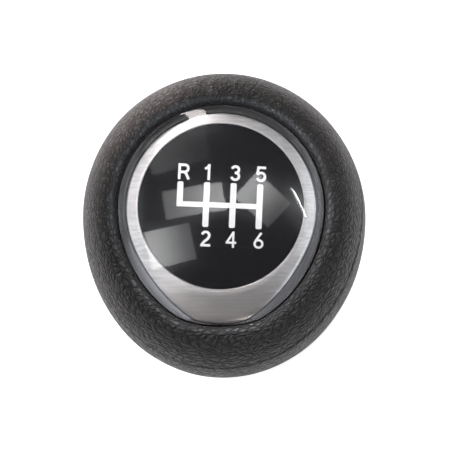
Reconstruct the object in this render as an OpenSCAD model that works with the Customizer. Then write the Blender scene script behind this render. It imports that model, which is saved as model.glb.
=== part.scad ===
// Gear shift knob: a grained skin over a moulded core, with a drop-shaped
// bezel under a clear domed lens, and a push-fit bush for the shift lever.
// The origin is the centre of the lever bore's mouth, with +Z up along the
// lever and -Y towards the driver. The face leans towards the driver.

/* [Head] */
// Half width of the head at its widest level
girth_x = 26; // [24.5:0.1:28]
// Reach of the head from its widest line towards the driver
girth_front = 29.7; // [27.5:0.1:31]
// Reach of the head from its widest line away from the driver
girth_back = 25.7; // [24.7:0.1:28]
// How far the widest line sits off the lever's axis, away from the driver
girth_shift = 1; // [0:0.1:2]
// Height of the widest level above the base
girth_z = 44.5; // [41:0.5:45.5]
// Radius of the neck at the collar
neck_r = 15; // [14.6:0.1:17]
// How late the neck swells into the head, where 1 is an even wave
neck_bend = 1.5; // [1:0.1:1.8]

/* [Face] */
// Lean of the face towards the driver, in degrees
face_tilt = 12; // [6:0.5:15]
// Height of the face's centre above the base, at the crest of the skin
face_z = 58.5; // [56.5:0.5:62]
// How far the face's centre sits off the lever's axis, towards the driver
face_forward = 0.6; // [0:0.1:2]

/* [Lens outline] */
// Radius of the round upper part of the lens
lens_top_r = 18.5; // [18.1:0.1:18.9]
// Drop of the round part's centre below the dial's centre
lens_top_drop = 0.3; // [0:0.1:0.6]
// Direction where the flank arc starts, in degrees
lens_flank_from = 186; // [184:1:194]
// Radius of the flank arc
lens_flank_r = 24; // [22:0.5:26]
// Direction where the corner arc starts, in degrees
lens_corner_from = 234; // [230:1:237]
// Radius of the corner arc
lens_corner_r = 9; // [8:0.1:10]
// Radius of the toe arc
lens_toe_r = 22; // [20:0.5:28]
// Drop of the lens's edge below the crest of the skin, at the sides
lens_sink = 0.6; // [0.3:0.1:1]
// Rise of the dome over the lens's edge, at the sides
dome_rise = 2.4; // [1.6:0.1:2.8]
// Thickness of the lens
lens_t = 2.2; // [2:0.1:2.6]

/* [Plate outline] */
// Width of the dark rim between the plate and the lens's edge
rim_band = 1.5; // [1.1:0.1:1.9]
// Drop of the round part's centre below the dial's centre
plate_top_drop = 0.3; // [0:0.1:0.6]
// Direction where the flank arc starts, in degrees
plate_flank_from = 203; // [199:1:207]
// Radius of the flank arc
plate_flank_r = 30.5; // [28:0.5:33]
// Direction where the corner arc starts, in degrees
plate_corner_from = 235; // [232:1:237]
// Radius of the corner arc
plate_corner_r = 3.4; // [2.6:0.1:4]
// Thickness of the plate
plate_t = 0.6; // [0.4:0.1:0.8]

/* [Dial] */
// Width of the silver ring between the dial and the dark rim, at the sides
ring_w = 2.3; // [1.8:0.1:2.9]
// Depth of the dial's top below the plate's
dial_sink = 0.2; // [0.1:0.05:0.3]
// Clearance between the disc and the plate's hole
dial_gap = 0.1; // [0.05:0.05:0.2]

/* [Bezel carrier] */
// Depth of the face's recess below the crest of the skin
recess_d = 5.2; // [5:0.1:5.8]
// Thickness of the tray's floor inside the snap legs
floor_t = 1.2; // [1:0.1:1.6]
// Gap between the plate's top and the underside of the lens
plate_gap = 0.3; // [0.2:0.05:0.5]
// Least width of the tray's rim, at the toe
rim_t = 0.35; // [0.3:0.05:0.5]
// Clearance between the plate and the tray's rim
plate_fit = 0.1; // [0.05:0.05:0.2]
// Thickness of the adhesive ring under the lens
bond_t = 0.15; // [0.1:0.05:0.2]
// Length of a snap leg below the floor
leg_len = 6; // [5:0.5:8]
// Thickness of a snap leg
leg_t = 1.4; // [1.2:0.1:1.8]
// Width of a snap leg
leg_w = 4; // [3:0.5:5]
// Thickness of a snap leg at its tip
leg_tip = 0.8; // [0.6:0.1:1.1]
// Reach of a snap leg's barb
barb = 0.6; // [0.4:0.1:0.8]
// Height of a barb's outer face
barb_land = 0.2; // [0.1:0.1:0.5]
// Clearance between a barb and the shoulder that it holds
barb_gap = 0.1; // [0.05:0.05:0.2]
// Distance of the snap legs from the dial's centre
leg_r = 12; // [10:0.5:13]
// Clearance round a snap leg
leg_gap = 0.3; // [0.2:0.05:0.4]

/* [Skin] */
// Thickness of the skin
skin_t = 2; // [1.6:0.1:2.3]
// Thickness of the skin where it lines the recess
lining_t = 1.6; // [1.2:0.1:1.8]
// Gap between the lens's edge and the recess's wall
lens_gap = 0.35; // [0.25:0.05:0.5]
// Width of the rolled lip, from the crest to the recess's wall
roll_w = 2.3; // [1.9:0.1:2.8]
// Height of the rolled lip, from the crest to where its wall is upright
roll_h = 1.9; // [1.4:0.1:2.4]
// Depth of the seam round the head
seam_d = 0.25; // [0.1:0.05:0.4]
// Width of the seam round the head
seam_w = 0.7; // [0.4:0.1:1]
// How far up the flank the seam runs, in degrees of the flank's curve
seam_at = 28; // [20:1:36]
// Thickness of the glue film between skin and core
glue_t = 0.1; // [0.05:0.05:0.15]

/* [Lever sleeve] */
// Radius of the lever bore
bore_r = 6; // [5.6:0.1:6.2]
// Depth of the lever bore, up to the stop pad
bore_d = 30; // [27:0.5:32]
// Outer radius of the sleeve
sleeve_r = 8.5; // [8.2:0.1:8.8]
// Thickness of the sleeve's closed top
sleeve_top_t = 2.5; // [2:0.1:3]
// Width of the key rib that stops the sleeve from turning
key_w = 3; // [2:0.5:4]
// Height of the key rib over the sleeve
key_h = 1.2; // [0.8:0.1:1.4]
// Distance of the key rib's ends from the damper rings
key_end = 1; // [0.5:0.1:2]
// Clearance between the sleeve and the core
sleeve_gap = 0.2; // [0.1:0.05:0.3]

/* [Retaining clip] */
// Radius of the clip's wire
wire_r = 0.6; // [0.4:0.05:0.7]
// Height of the clip above the base
clip_z = 21; // [19:0.5:23]
// Opening of the clip, in degrees
clip_open = 50; // [30:5:90]
// Clearance between the wire and its groove
clip_gap = 0.1; // [0.05:0.05:0.15]

/* [Damper rings and stop pad] */
// Radial thickness of a damper ring
damper_t = 1.9; // [1.5:0.1:2.2]
// Height of a damper ring
damper_h = 4; // [3:0.5:4.5]
// Height of the lower ring's underside above the base
damper_low_z = 11; // [10:0.5:12]
// Height of the upper ring's underside above the base
damper_high_z = 27; // [26:0.5:28]
// Clearance round a damper ring
damper_gap = 0.1; // [0.05:0.05:0.15]
// Thickness of the stop pad
pad_t = 1.5; // [1:0.1:2]
// Reach of the stop pad past the bore, into its pocket
pad_lip = 0.5; // [0.3:0.1:0.8]
// Clearance round the stop pad
pad_gap = 0.1; // [0.05:0.05:0.2]

/* [Neck collar] */
// Outer radius of the collar
collar_r = 15.8; // [15.4:0.1:17.5]
// Height of the collar
collar_h = 4; // [3.5:0.1:4.5]
// Clearance between the collar and the sleeve
collar_gap = 0.3; // [0.2:0.05:0.5]
// Size of the collar's chamfers
collar_chamfer = 0.6; // [0.3:0.1:0.8]
// Wall thickness of the collar's snap ring
snap_t = 1.2; // [1:0.1:1.4]
// Thickness of the core outside the snap ring's groove
snap_wall = 1; // [0.8:0.1:1.2]
// Height of the snap ring above the collar
snap_h = 4.5; // [3.5:0.1:5]
// Reach of the snap ring's bead
bead = 0.3; // [0.2:0.05:0.4]
// Clearance between the snap ring and its groove
snap_gap = 0.15; // [0.1:0.05:0.2]

/* [Hidden] */
// Corners of a section through the skin and the core
around = 72;
// Corners of a drop outline
outline_n = 120;
// Steps of the neck's curve, of the flank's and of the rolled lip's
neck_steps = 9;
flank_steps = 9;
roll_steps = 6;
// Overshoot of a cut past the face that it opens
cut = 1;
$fn = 72;

lens_s = [lens_top_r, -lens_top_drop, lens_flank_from, lens_flank_r,
          lens_corner_from, lens_corner_r, lens_toe_r];
plate_s = [lens_top_r - rim_band, -plate_top_drop, plate_flank_from, plate_flank_r,
           plate_corner_from, plate_corner_r, lens_toe_r];
dial_r = lens_top_r - rim_band - ring_w;
// Sphere that gives the dome its rise over the lens's round part. The lens's
// underside, the tray's rim, the plate and the tray's floor share its centre.
dome_r = (lens_top_r * lens_top_r + dome_rise * dome_rise) / (2 * dome_rise);
dome_centre = dome_rise - lens_sink - dome_r;
under_r = dome_r - lens_t;
rim_r = under_r - bond_t;
plate_r = under_r - plate_gap;
floor_r = plate_r - plate_t;
// Reach of the skin's crest past the lens outline
crest_out = lens_gap + roll_w;
lining_out = lens_gap + lining_t;
// Drop of the core's bevelled corner under the lip
corner_drop = lining_t / 4;
sleeve_h = bore_d + pad_t + sleeve_top_t;
key_low = damper_low_z + damper_h + key_end;
key_high = damper_high_z - key_end;
leg_angles = [45, 135, 225, 315];
// Inner radius of the collar's snap ring
snap_r = neck_r - skin_t - glue_t - snap_wall - snap_gap - bead - snap_t;
// Radius of the hollow under the tray's floor
hollow_r = leg_r - 2 * leg_t;

function unit(a) = [cos(a), sin(a)];
function flat_angle(p) = (atan2(p.y, p.x) + 360) % 360;

// A drop outline is four arcs a side, each tangent to the next:
// round top, flank, corner and toe. Each arc is [centre, radius, start].
function drop_arcs(s) =
    let (top = [0, s[1]],
         flank = top + (s[0] - s[3]) * unit(s[2]),
         corner = flank + (s[3] - s[5]) * unit(s[4]),
         toe_from = 360 - acos(corner.x / (s[6] - s[5])),
         toe = [0, corner.y + (s[5] - s[6]) * sin(toe_from)])
    [[top, s[0], 0],
     [flank, s[3], flat_angle(flank + s[3] * unit(s[2]))],
     [corner, s[5], flat_angle(corner + s[5] * unit(s[4]))],
     [toe, s[6], flat_angle(toe + s[6] * unit(toe_from))]];

// Point of a drop outline in direction a, moved out by grow along its normal
function drop_point(s, a, grow = 0) =
    let (right = cos(a) > 0,
         m = right ? (540 - a) % 360 : a,
         arcs = drop_arcs(s),
         arc = m < arcs[1][2] ? arcs[0] : m < arcs[2][2] ? arcs[1] :
               m < arcs[3][2] ? arcs[2] : arcs[3],
         c = arc[0],
         r = arc[1],
         along = c * unit(m),
         p = (along + sqrt(r * r - c * c + along * along)) * unit(m),
         q = p + grow * (p - c) / r)
    [right ? -q.x : q.x, q.y];

// From the face's own axes to the part's
function face_point(p, w) =
    [p.x,
     p.y * cos(face_tilt) - w * sin(face_tilt) - face_forward,
     p.y * sin(face_tilt) + w * cos(face_tilt) + face_z];

// Points of the head's widest section and of its crest, drawn in by inset
function girth_point(a, inset) =
    let (reach = sin(a) < 0 ? girth_front : girth_back)
    [(girth_x - inset) * cos(a), (reach - inset) * sin(a) + girth_shift, girth_z];
function crest_point(a, inset) =
    face_point(drop_point(lens_s, a, crest_out), -inset);

// The neck swells to the girth along half a cosine wave
function neck_point(a, f, inset) =
    let (swell = (1 - cos(180 * pow(f, neck_bend))) / 2,
         foot = [(neck_r - inset) * cos(a), (neck_r - inset) * sin(a), collar_h],
         top = girth_point(a, inset),
         p = foot + swell * (top - foot))
    [p.x, p.y, collar_h + f * (girth_z - collar_h)];

// The flank is a quarter of an ellipse from the girth, where it stands
// upright, to the crest, where it lies along the face
function flank_point(a, t, inset, sink = 0) =
    let (from = girth_point(a, inset),
         to = crest_point(a, inset),
         axis = [0, -sin(face_tilt), cos(face_tilt)],
         rise = [0, 0, (to - from) * axis / axis.z],
         run = to - from - rise,
         p = from + run * (1 - cos(t)) + rise * sin(t))
    p - sink * [cos(a), sin(a), 0];

// The lip rolls from the crest down to the recess's wall
function lip_point(a, q) =
    face_point(drop_point(lens_s, a, lens_gap + roll_w * (1 - sin(q))), roll_h * (cos(q) - 1));
function recess_point(a, grow, w) = face_point(drop_point(lens_s, a, grow), w);

// The seam's half width, in degrees of the flank's curve
seam_half = seam_w / 2 / (face_z - girth_z) * 180 / PI;

function ring_angles() = [for (j = [0 : around - 1]) 360 * j / around];

// The flank has three close rings for the seam
function skin_rings() = concat(
    [for (i = [0 : neck_steps - 1])
        [for (a = ring_angles()) neck_point(a, i / neck_steps, 0)]],
    [for (a = [[0, 0], [seam_at - seam_half, 0], [seam_at, seam_d], [seam_at + seam_half, 0]])
        [for (b = ring_angles()) flank_point(b, a[0], 0, a[1])]],
    [for (i = [1 : flank_steps])
        [for (a = ring_angles())
            flank_point(a, seam_at + seam_half + (90 - seam_at - seam_half) * i / flank_steps, 0)]],
    [for (i = [1 : roll_steps])
        [for (a = ring_angles()) lip_point(a, 90 * i / roll_steps)]],
    [[for (a = ring_angles()) recess_point(a, lens_gap, -recess_d)]],
    lining_rings(0));

// The skin's inner face, which is the core's outer face once it is inset
function lining_rings(extra) = concat(
    [[for (a = ring_angles()) recess_point(a, lining_out + extra, -recess_d)],
     [for (a = ring_angles()) recess_point(a, lining_out + extra, -skin_t - lining_t)],
     [for (a = ring_angles())
        recess_point(a, (lining_out + crest_out + extra) / 2, -skin_t - extra - corner_drop)]],
    [for (i = [0 : flank_steps - 2])
        [for (a = ring_angles()) flank_point(a, 90 - 90 * i / (flank_steps - 1), skin_t + extra)]],
    [for (i = [neck_steps - 1 : -1 : 0])
        [for (a = ring_angles()) neck_point(a, i / (neck_steps - 1), skin_t + extra)]]);

function flatten(lists) = [for (list = lists) for (item = list) item];

// Triangles between neighbouring rings, closed into a loop where asked
function band_faces(count, closed) =
    [for (i = [0 : count - (closed ? 1 : 2)])
        for (j = [0 : around - 1])
            let (k = (j + 1) % around,
                 low = i * around,
                 high = ((i + 1) % count) * around)
            each [[low + j, high + j, high + k], [low + j, high + k, low + k]]];

module skin_solid() {
    rings = skin_rings();
    polyhedron(flatten(rings), band_faces(len(rings), true));
}

module core_solid() {
    rings = lining_rings(glue_t);
    last = (len(rings) - 1) * around;
    ends = [[for (j = [0 : around - 1]) j], [for (j = [around - 1 : -1 : 0]) last + j]];
    polyhedron(flatten(rings), concat(band_faces(len(rings), false), ends));
}

module on_face(w = 0) {
    translate([0, -face_forward, face_z]) rotate([face_tilt, 0, 0]) translate([0, 0, w]) children();
}

module drop(s, grow = 0) {
    polygon([for (i = [0 : outline_n - 1]) drop_point(s, 360 * i / outline_n, grow)]);
}

module tube(outer, inner, h) {
    difference() {
        cylinder(r = outer, h = h);
        translate([0, 0, -cut]) cylinder(r = inner, h = h + 2 * cut);
    }
}

module dome(r) {
    translate([0, 0, dome_centre]) sphere(r = r, $fn = 120);
}

// A block on the recess's floor with a domed top and its child's outline
module domed_block(r) {
    intersection() {
        translate([0, 0, -recess_d]) linear_extrude(recess_d + dome_rise) children();
        dome(r);
    }
}

module domed_sheet(outer_r, inner_r) {
    difference() {
        domed_block(outer_r) children();
        dome(inner_r);
    }
}

// The tray's rim fills what lies between the plate and the lens's edge
module rim_outline(inner_grow) {
    difference() {
        drop(lens_s);
        intersection() {
            drop(plate_s, inner_grow);
            drop(lens_s, -rim_t);
        }
    }
}

module grip_skin() {
    color([0.09, 0.09, 0.1]) skin_solid();
}

module leg_pockets() {
    for (a = leg_angles) rotate(a) {
        translate([leg_r - leg_gap, -leg_w / 2 - leg_gap, -leg_len - leg_gap])
            cube([leg_t + 2 * leg_gap, leg_w + 2 * leg_gap, leg_len + leg_gap + cut]);
        translate([leg_r - leg_gap, -leg_w / 2 - leg_gap, -leg_len - leg_gap])
            cube([leg_t + barb + 2 * leg_gap, leg_w + 2 * leg_gap, leg_len / 2 + leg_gap]);
    }
}

module core_body() {
    color([0.25, 0.25, 0.27]) difference() {
        core_solid();
        on_face(-recess_d) leg_pockets();
        translate([0, 0, collar_h - cut])
            cylinder(r = sleeve_r + sleeve_gap, h = sleeve_h + sleeve_gap - collar_h + cut);
        translate([-key_w / 2 - sleeve_gap, 0, collar_h - cut])
            cube([key_w + 2 * sleeve_gap, sleeve_r + key_h + sleeve_gap,
                  key_high + sleeve_gap - collar_h + cut]);
        for (z = [damper_low_z, damper_high_z])
            translate([0, 0, z - damper_gap])
                cylinder(r = sleeve_r + damper_t, h = damper_h + 2 * damper_gap);
        translate([0, 0, collar_h]) snap_groove();
    }
}

// Groove in the core's base for the collar's snap ring and its bead
module snap_groove() {
    translate([0, 0, -cut])
        tube(snap_r + snap_t + snap_gap, snap_r - snap_gap, snap_h + snap_gap + cut);
    translate([0, 0, snap_h - 2 * bead - snap_gap])
        tube(snap_r + snap_t + bead + snap_gap, snap_r - snap_gap, 2 * bead + 2 * snap_gap);
}

module bezel_carrier() {
    color([0.1, 0.1, 0.11]) on_face() {
        difference() {
            domed_block(floor_r) drop(lens_s);
            intersection() {
                translate([0, 0, -recess_d - cut]) cylinder(r = hollow_r, h = recess_d);
                dome(floor_r - floor_t);
            }
        }
        domed_block(rim_r) rim_outline(plate_fit);
        translate([0, 0, -recess_d]) for (a = leg_angles) rotate(a) snap_leg();
    }
}

module snap_leg() {
    reach = leg_t + barb;
    hold_z = -leg_len / 2 - barb_gap;
    translate([leg_r, leg_w / 2, 0]) rotate([90, 0, 0]) linear_extrude(leg_w)
        polygon([[0, 0], [0, -leg_len], [leg_tip, -leg_len], [reach, hold_z - barb_land],
                 [reach, hold_z], [leg_t, hold_z], [leg_t, 0]]);
}

module bezel_plate() {
    color([0.8, 0.81, 0.82]) on_face() domed_sheet(plate_r, floor_r) difference() {
        intersection() {
            drop(plate_s);
            drop(lens_s, -rim_t - plate_fit);
        }
        circle(r = dial_r + dial_gap);
    }
}

module dial_disc() {
    color([0.05, 0.05, 0.06]) on_face() domed_sheet(plate_r - dial_sink, floor_r) circle(r = dial_r);
}

module lens_bond() {
    color([0.2, 0.2, 0.21]) on_face() domed_sheet(under_r, rim_r) rim_outline(plate_fit);
}

module lens() {
    color([0.75, 0.8, 0.85, 0.4]) on_face() domed_sheet(dome_r, under_r) drop(lens_s);
}

module lever_sleeve() {
    groove_r = bore_r + 2 * wire_r + clip_gap;
    groove_z = wire_r + clip_gap;
    pocket_r = bore_r + pad_lip + pad_gap;
    color([0.3, 0.3, 0.33]) {
        rotate_extrude() polygon([
            [bore_r, 0], [sleeve_r, 0], [sleeve_r, sleeve_h], [0, sleeve_h],
            [0, bore_d + pad_t], [pocket_r, bore_d + pad_t], [pocket_r, bore_d],
            [bore_r, bore_d], [bore_r, clip_z + groove_z], [groove_r, clip_z + groove_z],
            [groove_r, clip_z - groove_z], [bore_r, clip_z - groove_z]]);
        translate([-key_w / 2, sleeve_r - key_h, key_low])
            cube([key_w, 2 * key_h, key_high - key_low]);
    }
}

module retaining_clip() {
    color([0.7, 0.72, 0.75]) translate([0, 0, clip_z]) rotate(clip_open / 2 - 90)
        rotate_extrude(angle = 360 - clip_open)
            translate([bore_r + wire_r + clip_gap / 2, 0]) circle(r = wire_r, $fn = 24);
}

module damper_ring() {
    tube(sleeve_r + damper_t - damper_gap, sleeve_r + damper_gap, damper_h);
}

module damper_ring_lower() {
    color([0.12, 0.12, 0.12]) translate([0, 0, damper_low_z]) damper_ring();
}

module damper_ring_upper() {
    color([0.12, 0.12, 0.12]) translate([0, 0, damper_high_z]) damper_ring();
}

module stop_pad() {
    color([0.16, 0.16, 0.16]) translate([0, 0, bore_d]) cylinder(r = bore_r + pad_lip, h = pad_t);
}

module neck_collar() {
    inner = sleeve_r + collar_gap;
    outer = snap_r + snap_t;
    top = collar_h + snap_h;
    color([0.07, 0.07, 0.08]) rotate_extrude() polygon([
        [inner, 0], [collar_r - collar_chamfer, 0], [collar_r, collar_chamfer],
        [collar_r, collar_h - collar_chamfer], [collar_r - collar_chamfer, collar_h],
        [outer, collar_h], [outer, top - 2 * bead], [outer + bead, top - bead],
        [outer, top], [snap_r, top], [snap_r, collar_h], [inner, collar_h]]);
}

grip_skin();
core_body();
bezel_carrier();
bezel_plate();
dial_disc();
lens_bond();
lens();
lever_sleeve();
retaining_clip();
damper_ring_lower();
damper_ring_upper();
stop_pad();
neck_collar();
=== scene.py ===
from math import acos, atan2, cos, degrees, exp, pi, radians, sin, sqrt

import bmesh
import bpy
from mathutils import Matrix, Vector, noise


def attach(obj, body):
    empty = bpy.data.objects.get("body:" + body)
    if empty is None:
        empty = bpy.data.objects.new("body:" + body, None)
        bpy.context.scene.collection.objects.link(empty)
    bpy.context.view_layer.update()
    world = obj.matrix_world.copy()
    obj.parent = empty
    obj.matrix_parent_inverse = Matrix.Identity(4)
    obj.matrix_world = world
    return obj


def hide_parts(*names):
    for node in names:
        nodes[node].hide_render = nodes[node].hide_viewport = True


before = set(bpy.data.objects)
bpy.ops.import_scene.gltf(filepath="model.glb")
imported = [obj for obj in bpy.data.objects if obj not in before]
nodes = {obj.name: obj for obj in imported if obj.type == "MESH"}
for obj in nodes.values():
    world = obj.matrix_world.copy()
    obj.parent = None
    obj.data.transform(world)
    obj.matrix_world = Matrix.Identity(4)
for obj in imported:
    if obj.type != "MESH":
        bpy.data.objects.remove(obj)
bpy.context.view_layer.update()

mm = 0.001
tiny = 1e-9
scene = bpy.context.scene
scene.view_settings.view_transform = "Standard"
print("frame loaded,", len(nodes), "nodes")


# The face leans towards the driver. Heights on it count from the skin's crest.
face = {
    "tilt": radians(12),
    "height": 58.5 * mm,
    "forward": 0.6 * mm,
}

lensShape = {
    "topR": 18.5 * mm,
    "topDrop": 0.3 * mm,
    "flankFrom": 186,      # degrees
    "flankR": 24 * mm,
    "cornerFrom": 234,
    "cornerR": 9 * mm,
    "toeR": 22 * mm,
}

plateShape = {
    "topR": 17 * mm,
    "topDrop": 0.3 * mm,
    "flankFrom": 203,
    "flankR": 30.5 * mm,
    "cornerFrom": 235,
    "cornerR": 3.4 * mm,
    "toeR": 22 * mm,
    "ease": 0.9 * mm,
    "toeGap": 0.02 * mm,
}

stack = {
    "lensSink": 0.6 * mm,      # the lens's edge lies this far under the crest
    "rise": 2.4 * mm,          # of the dome over its edge
    "lensThick": 2.2 * mm,
    "plateGap": 0.3 * mm,
    "plateThick": 0.6 * mm,
    "dialSink": 0.2 * mm,
    "dialR": 14.7 * mm,
    "dialGap": 0.1 * mm,
    "rim": 0.35 * mm,
    "rimGap": 0.1 * mm,
    "recess": 5.2 * mm,
}
domeR = (lensShape["topR"] ** 2 + stack["rise"] ** 2) / (2 * stack["rise"])
domeCentre = stack["rise"] - stack["lensSink"] - domeR
underR = domeR - stack["lensThick"]
plateR = underR - stack["plateGap"]
dialTopR = plateR - stack["dialSink"]

faceSpot = Matrix.Translation((0, -face["forward"], face["height"]))
faceSpot = faceSpot @ Matrix.Rotation(face["tilt"], 4, "X")
faceUp = faceSpot.to_3x3() @ Vector((0, 0, 1))


def onFace(p, w):
    # p is across the face, w is the height over the skin's crest
    return faceSpot @ Vector((p[0], p[1], w))


def domeHeight(p, r):
    return domeCentre + sqrt(r * r - p[0] * p[0] - p[1] * p[1])


def unit(a):
    return Vector((cos(radians(a)), sin(radians(a))))


def dropArcs(shape):
    # centre, radius and first direction of the four arcs of a side
    top = Vector((0, -shape["topDrop"]))
    flank = top + (shape["topR"] - shape["flankR"]) * unit(shape["flankFrom"])
    corner = flank + (shape["flankR"] - shape["cornerR"]) * unit(shape["cornerFrom"])
    toeFrom = 360 - degrees(acos(corner.x / (shape["toeR"] - shape["cornerR"])))
    toe = Vector((0, corner.y + (shape["cornerR"] - shape["toeR"]) * sin(radians(toeFrom))))
    arcs = [(top, shape["topR"], 0)]
    for centre, r, start in ((flank, shape["flankR"], shape["flankFrom"]),
                             (corner, shape["cornerR"], shape["cornerFrom"]),
                             (toe, shape["toeR"], toeFrom)):
        p = centre + r * unit(start)
        arcs.append((centre, r, degrees(atan2(p.y, p.x)) % 360))
    return arcs


def dropPoint(shape, a, grow=0.0):
    # point of a drop outline in direction a, moved out by grow
    right = cos(radians(a)) > tiny
    m = (540 - a) % 360 if right else a
    centre, r, start = [arc for arc in dropArcs(shape) if m >= arc[2] - tiny][-1]
    along = centre.dot(unit(m))
    p = (along + sqrt(r * r - centre.dot(centre) + along * along)) * unit(m)
    q = p + grow * (p - centre) / r
    return Vector((-q.x if right else q.x, q.y))


def innerOutline(a, inset):
    # the plate's outline, held inside the lens's edge and eased where the two meet
    p = dropPoint(plateShape, a, -inset)
    q = dropPoint(lensShape, a, -stack["rim"] - stack["rimGap"] - plateShape["toeGap"] - inset)
    ease = max(0, 1 - abs(p.length - q.length) / plateShape["ease"])
    return p.normalized() * (min(p.length, q.length) - ease * ease * plateShape["ease"] / 4)


# Modelling helpers

def growRings(bm, rings, closed=False):
    # a circle that is extruded ring after ring, each vertex keeping its number
    number = bm.verts.layers.int.new("number")
    bmesh.ops.create_circle(bm, segments=len(rings[0]), radius=1)
    bm.verts.ensure_lookup_table()
    for i, v in enumerate(bm.verts):
        v[number] = i
        v.co = rings[0][i]
    first = list(bm.edges)
    edges = first
    loops = [list(bm.verts)]
    for ring in rings[1:]:
        grown = bmesh.ops.extrude_edge_only(bm, edges=edges)["geom"]
        edges = [g for g in grown if isinstance(g, bmesh.types.BMEdge)]
        verts = [g for g in grown if isinstance(g, bmesh.types.BMVert)]
        for v in verts:
            v.co = ring[v[number]]
        loops.append(verts)
    if closed:
        bmesh.ops.bridge_loops(bm, edges=first + edges)
    return first, edges, loops


def capEnd(bm, edges):
    # closes a ring with a fan
    made = bmesh.ops.contextual_create(bm, geom=edges)["faces"]
    bmesh.ops.poke(bm, faces=made)


def makePiece(bm, name, material, stands=None, levels=0, smooth=True):
    bmesh.ops.recalc_face_normals(bm, faces=list(bm.faces))
    for f in bm.faces:
        f.smooth = smooth
    mesh = bpy.data.meshes.new(name)
    bm.to_mesh(mesh)
    bm.free()
    piece = bpy.data.objects.new(name, mesh)
    scene.collection.objects.link(piece)
    mesh.materials.append(material)
    if levels:
        mod = piece.modifiers.new("smooth", "SUBSURF")
        mod.levels = mod.render_levels = levels
    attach(piece, "root")
    if stands:
        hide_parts(stands)


def directions(count):
    return [360 * i / count for i in range(count)]


# Material helpers

def newMaterial(name):
    mat = bpy.data.materials.new(name)
    mat.use_nodes = True
    tree = mat.node_tree
    return mat, tree, tree.nodes["Principled BSDF"]


def addNode(tree, kind, **values):
    node = tree.nodes.new(kind)
    for key, value in values.items():
        setattr(node, key, value)
    return node


def newGroup(name, ins, outs):
    tree = bpy.data.node_groups.new(name, "ShaderNodeTree")
    for label, kind, value in ins:
        made = tree.interface.new_socket(label, in_out="INPUT", socket_type=kind)
        if value is not None:
            made.default_value = value
    for label, kind in outs:
        tree.interface.new_socket(label, in_out="OUTPUT", socket_type=kind)
    return tree, tree.nodes.new("NodeGroupInput"), tree.nodes.new("NodeGroupOutput")


def useGroup(tree, group, **values):
    node = tree.nodes.new("ShaderNodeGroup")
    node.node_tree = group
    for key, value in values.items():
        node.inputs[key].default_value = value
    return node


def feed(tree, socket, value):
    # numbers and colours are set, anything else is linked
    if isinstance(value, tuple):
        socket.default_value = (*value, 1)
    elif isinstance(value, (int, float)):
        socket.default_value = value
    else:
        tree.links.new(value, socket)


def mathNode(tree, kind, a, b=None, clamp=False):
    node = addNode(tree, "ShaderNodeMath", operation=kind, use_clamp=clamp)
    feed(tree, node.inputs[0], a)
    if b is not None:
        feed(tree, node.inputs[1], b)
    return node.outputs[0]


def times(tree, product, *others):
    for other in others:
        product = mathNode(tree, "MULTIPLY", product, other)
    return product


def mapRange(tree, value, low, high, toLow=0, toHigh=1):
    node = addNode(tree, "ShaderNodeMapRange", interpolation_type="SMOOTHSTEP")
    tree.links.new(value, node.inputs["Value"])
    for key, v in (("From Min", low), ("From Max", high), ("To Min", toLow), ("To Max", toHigh)):
        node.inputs[key].default_value = v
    return node.outputs["Result"]


def mixColor(tree, factor, a, b):
    node = addNode(tree, "ShaderNodeMix", data_type="RGBA")
    feed(tree, node.inputs[0], factor)
    feed(tree, node.inputs[6], a)
    feed(tree, node.inputs[7], b)
    return node.outputs[2]


def splitVector(tree, vector):
    node = addNode(tree, "ShaderNodeSeparateXYZ")
    tree.links.new(vector, node.inputs[0])
    return tuple(node.outputs)


def vectorMath(tree, kind, a, b, out="Vector"):
    # a and b are sockets, or b is a plain vector
    node = addNode(tree, "ShaderNodeVectorMath", operation=kind)
    tree.links.new(a, node.inputs[0])
    if isinstance(b, tuple):
        node.inputs[1].default_value = b
    else:
        tree.links.new(b, node.inputs["Scale" if kind == "SCALE" else 1])
    return node.outputs[out]


def stretched(tree, vector, scale):
    node = addNode(tree, "ShaderNodeMapping")
    node.inputs["Scale"].default_value = scale
    tree.links.new(vector, node.inputs["Vector"])
    return node.outputs["Vector"]


def noiseNode(tree, vector, scale, detail):
    node = addNode(tree, "ShaderNodeTexNoise")
    tree.links.new(vector, node.inputs["Vector"])
    feed(tree, node.inputs["Scale"], scale)
    node.inputs["Detail"].default_value = detail
    return node


def objectPlace(tree):
    return addNode(tree, "ShaderNodeTexCoord").outputs["Object"]


def attributeNode(tree, name):
    return addNode(tree, "ShaderNodeAttribute", attribute_name=name)


def bumpInto(tree, shader, height, strength, distance):
    bump = addNode(tree, "ShaderNodeBump")
    bump.inputs["Strength"].default_value = strength
    bump.inputs["Distance"].default_value = distance
    tree.links.new(height, bump.inputs["Height"])
    tree.links.new(bump.outputs["Normal"], shader.inputs["Normal"])


# Leather grain: small pebbles, wrinkles that run round the head, and gathered folds that run up it

# Here and in the materials, a mask's numbers say where it begins and ends, and then its values
# there if they aren't 0 and 1.
grainLook = {
    "bendScale": 450,
    "bendDetail": 2,
    # share of the grain's scale, stretch, and width of a crease
    "pebble": (1.0, (1, 1, 1), 0.25),
    "wrinkle": (0.42, (1, 1, 1.5), 0.26),
    "gatherShare": 0.6,
    "gatherStretch": (1, 1, 0.22),
    "gatherSpan": (0, 0.12, 1, 0),
    "mottleScale": 110,
    "mottleDetail": 3,
    "strongSpan": (0.3, 0.7, 0.5, 1),
}


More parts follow.
